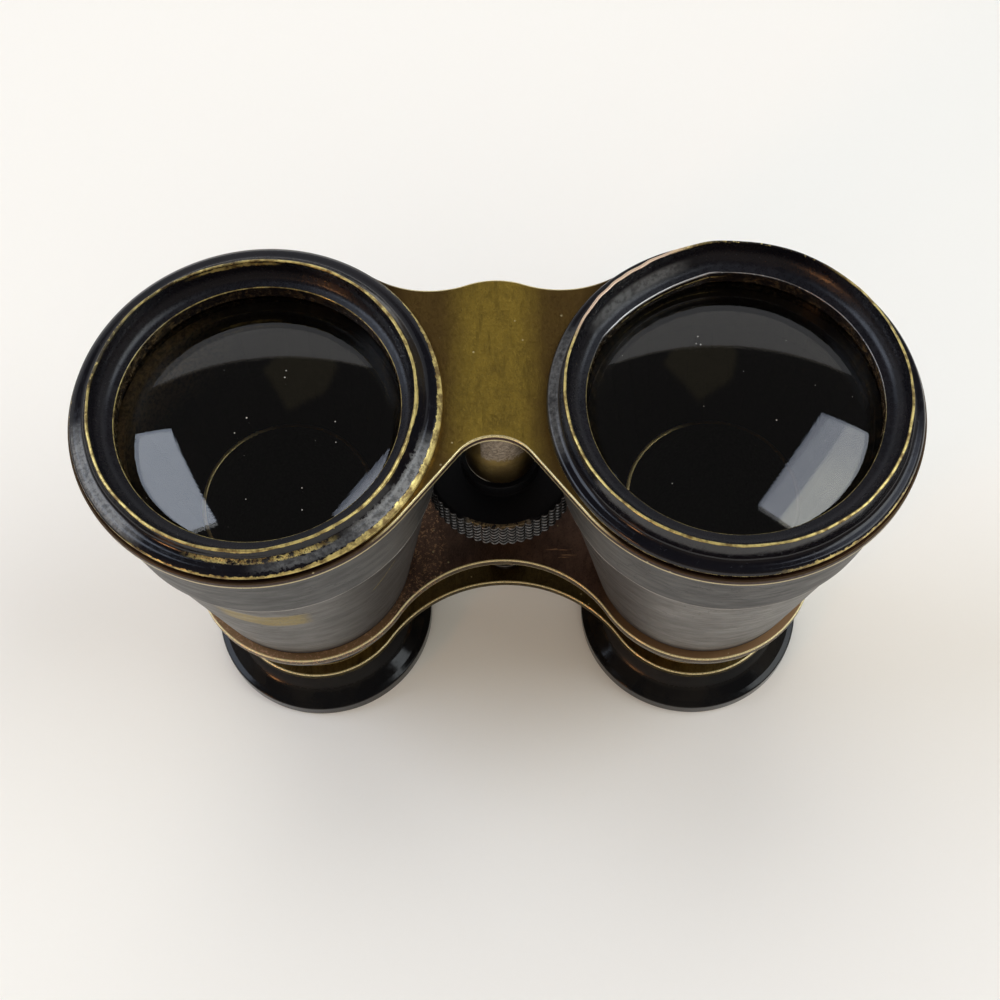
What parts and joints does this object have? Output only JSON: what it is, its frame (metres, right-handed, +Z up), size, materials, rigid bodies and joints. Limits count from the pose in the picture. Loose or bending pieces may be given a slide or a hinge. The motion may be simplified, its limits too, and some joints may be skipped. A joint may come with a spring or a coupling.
{
  "type": "field glasses",
  "caption": "Galilean field glasses: leather-covered conical barrels on brass bridges, black lens bezels, trumpet eyecups, and a knurled wheel that draws the eyepieces in and out.",
  "frame": {"origin": "on the table, midway between the eyecups that the glasses stand on", "axes": "+Z up along the barrels from the eyecups to the objectives; +X from the left barrel to the right one, seen from the nose side; +Y to the side of the focusing column"},
  "size_m": [0.115, 0.0511, 0.0821],
  "materials": {
    "patinated_brass": "dull olive-gold patina, bright where the edges are worn",
    "bare_brass": "turned brass, dulled",
    "black_lacquer": "glossy blue-black lacquer on brass, worn through at the edges",
    "worn_leather": "smooth grey-brown leather, satin from wear, finely scratched",
    "collar_leather": "second layer of the same leather, greyer",
    "ebonite": "polished black hard rubber",
    "optical_glass": "clear polished glass",
    "dark_steel": "dark turned steel"
  },
  "bodies": {
    "eyepieces": {"eyepiece_bridge": "patinated_brass", "focus_spindle": "dark_steel", "spindle_stop_ring": "dark_steel", "spindle_foot_nut": "bare_brass", "left_draw_tube": "bare_brass", "left_eyecup": "ebonite", "left_eye_lens_cell": "black_lacquer", "left_eye_lens": "optical_glass", "right_draw_tube": "bare_brass", "right_eyecup": "ebonite", "right_eye_lens_cell": "black_lacquer", "right_eye_lens": "optical_glass"},
    "barrels": {"front_bridge": "patinated_brass", "rear_bridge": "patinated_brass", "lower_column": "bare_brass", "upper_column": "bare_brass", "left_barrel_tube": "patinated_brass", "left_barrel_leather": "worn_leather", "left_barrel_collar": "collar_leather", "left_barrel_end_ring": "black_lacquer", "left_draw_tube_guide": "bare_brass", "left_objective_bezel": "black_lacquer", "left_objective_crown": "optical_glass", "left_objective_flint": "optical_glass", "left_objective_lock_ring": "bare_brass", "right_barrel_tube": "patinated_brass", "right_barrel_leather": "worn_leather", "right_barrel_collar": "collar_leather", "right_barrel_end_ring": "black_lacquer", "right_draw_tube_guide": "bare_brass", "right_objective_bezel": "black_lacquer", "right_objective_crown": "optical_glass", "right_objective_flint": "optical_glass", "right_objective_lock_ring": "bare_brass"},
    "focus_wheel": {"focus_wheel": "black_lacquer", "focus_nut": "bare_brass"}
  },
  "joints": [
    {"name": "focus_slide", "type": "slide", "parent": "eyepieces", "child": "barrels", "axis": [0, 0, 1], "range_m": [-0.0125, 0.003]},
    {"name": "wheel_turn", "type": "hinge", "parent": "barrels", "child": "focus_wheel", "pos_m": [0, 0.0085, 0.04085], "axis": [0, 0, 1], "range_deg": [-452, 110]}
  ],
  "couplings": [
    {"joint": "wheel_turn", "follows": "focus_slide", "rad_per_m": 628.32}
  ]
}
